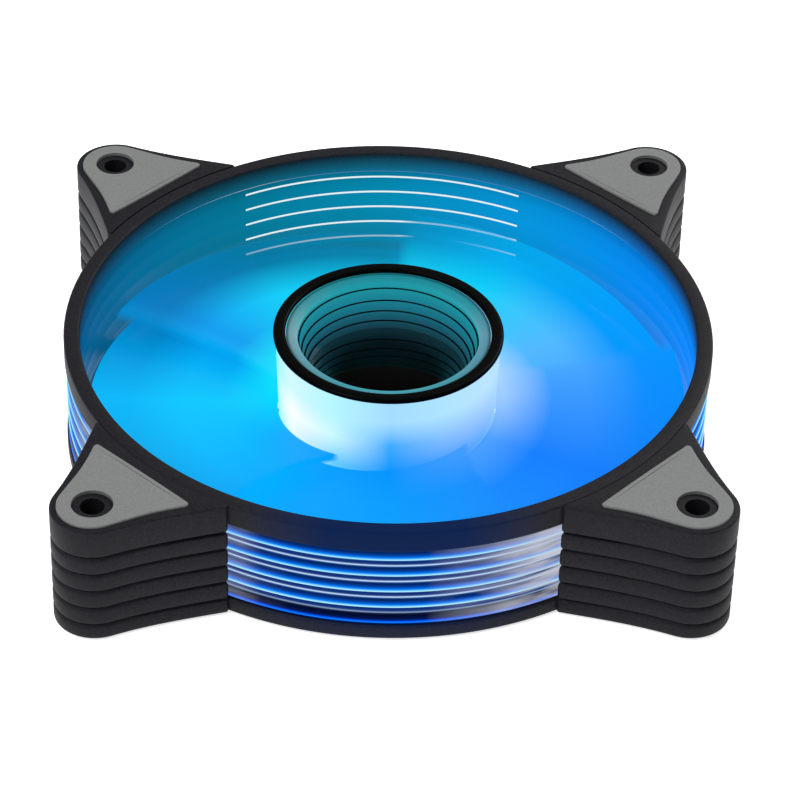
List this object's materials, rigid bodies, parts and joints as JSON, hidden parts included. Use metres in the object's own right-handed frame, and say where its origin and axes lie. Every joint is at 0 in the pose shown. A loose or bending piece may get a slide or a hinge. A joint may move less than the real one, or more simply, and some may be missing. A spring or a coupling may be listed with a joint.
{
  "type": "case fan",
  "caption": "Square computer case fan with a glowing bladed rotor, an infinity-mirror hub, a clear ribbed light ring in the frame and grey pads on grooved corners.",
  "frame": {"origin": "on the rotor's axis, in the plane of the rear pads' faces", "axes": "+Z along the rotor's axis towards the front (the mirror hub's side), +X and +Y along the square frame's sides"},
  "size_m": [0.12, 0.12, 0.025],
  "materials": {
    "black_plastic": "moulded black ABS, fine matte texture",
    "grey_rubber": "grey silicone rubber, smooth",
    "clear_plastic": "clear polycarbonate, polished",
    "frosted_plastic": "frosted translucent polycarbonate, lit blue",
    "bezel_plastic": "gloss black ABS",
    "mirror_glass": "half-silvered acrylic mirror",
    "glow_plastic": "frosted light guide, lit teal",
    "tunnel_plastic": "dark teal gloss plastic",
    "plated_steel": "nickel plated steel",
    "silicon_steel": "stacked laminations",
    "ferrite": "bonded ferrite",
    "copper": "enamelled copper wire",
    "brass": "turned brass",
    "sintered_bronze": "oil-filled sintered bronze",
    "white_nylon": "white nylon",
    "board_lacquer": "dark green solder mask",
    "led_resin": "white LED package",
    "chip_resin": "black moulded package",
    "label_film": "blank matt label film"
  },
  "bodies": {
    "frame": {"front_shell": "black_plastic", "rear_shell": "black_plastic", "light_ring": "clear_plastic", "rear_label": "label_film", "bearing_tube": "brass", "sleeve_bearing": "sintered_bronze", "circuit_board": "board_lacquer", "stator_core": "silicon_steel", "stator_insulator_rear": "white_nylon", "stator_insulator_front": "white_nylon", "driver_chip": "chip_resin", "hall_sensor": "chip_resin", "front_pad_top_right": "grey_rubber", "rear_pad_top_right": "grey_rubber", "front_pad_top_left": "grey_rubber", "rear_pad_top_left": "grey_rubber", "front_pad_bottom_left": "grey_rubber", "rear_pad_bottom_left": "grey_rubber", "front_pad_bottom_right": "grey_rubber", "rear_pad_bottom_right": "grey_rubber", "coil_1": "copper", "coil_2": "copper", "coil_3": "copper", "coil_4": "copper", "led_1": "led_resin", "led_2": "led_resin", "led_3": "led_resin", "led_4": "led_resin", "led_5": "led_resin", "led_6": "led_resin", "led_7": "led_resin", "led_8": "led_resin"},
    "rotor": {"impeller": "frosted_plastic", "hub_bezel": "bezel_plastic", "mirror_lens": "mirror_glass", "hub_light_ring": "glow_plastic", "mirror_well": "tunnel_plastic", "rotor_yoke": "plated_steel", "ring_magnet": "ferrite", "shaft_boss": "brass", "shaft": "plated_steel", "retaining_clip": "white_nylon"}
  },
  "joints": [
    {"name": "fan_spin", "type": "hinge", "parent": "frame", "child": "rotor", "pos_m": [0, 0, 0.012], "axis": [0, 0, 1], "continuous": true}
  ]
}
